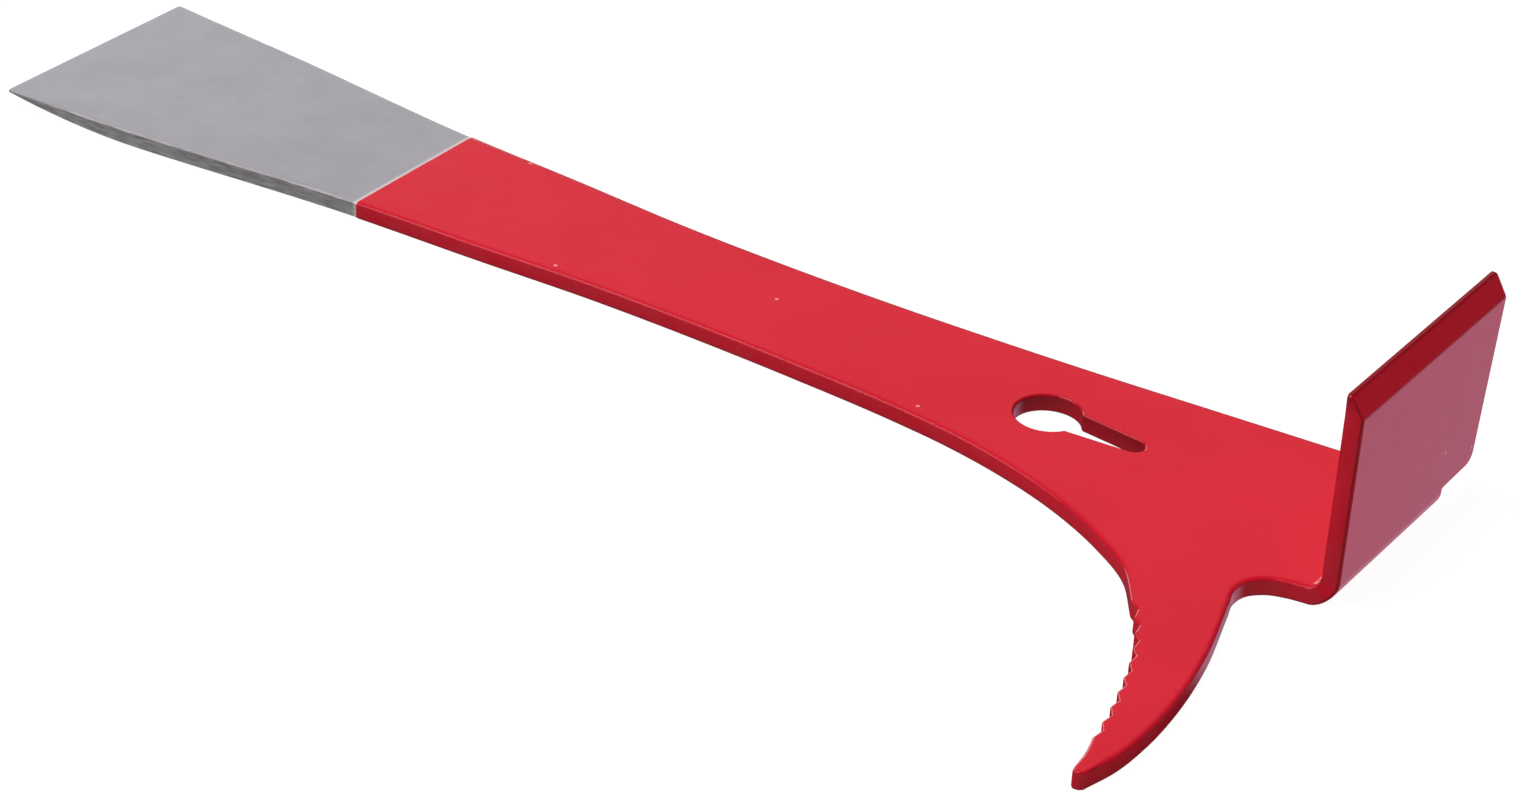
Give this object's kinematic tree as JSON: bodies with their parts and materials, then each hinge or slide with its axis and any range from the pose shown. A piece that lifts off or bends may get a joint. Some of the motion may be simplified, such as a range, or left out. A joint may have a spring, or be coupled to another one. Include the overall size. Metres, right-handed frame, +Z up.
{
  "type": "hive tool",
  "caption": "Beekeeper's hive tool: flat waisted steel bar with a flared ground blade, a keyhole slot, a curved toothed claw and a scraper bent upright, glossy red paint on all but the blade.",
  "frame": {"origin": "centre of the keyhole's round end, on the painted underside that the tool lies on", "axes": "+X along the tool from the blade towards the scraper, +Y away from the claw, +Z up out of the plate, the way the scraper stands"},
  "size_m": [0.266, 0.1094, 0.037],
  "materials": {
    "steel": "satin ground steel, faint lengthwise grind lines",
    "red_paint": "glossy red paint, soft rounded edges"
  },
  "bodies": {
    "root": {"steel_blank": "steel", "red_coating": "red_paint"}
  },
  "joints": []
}
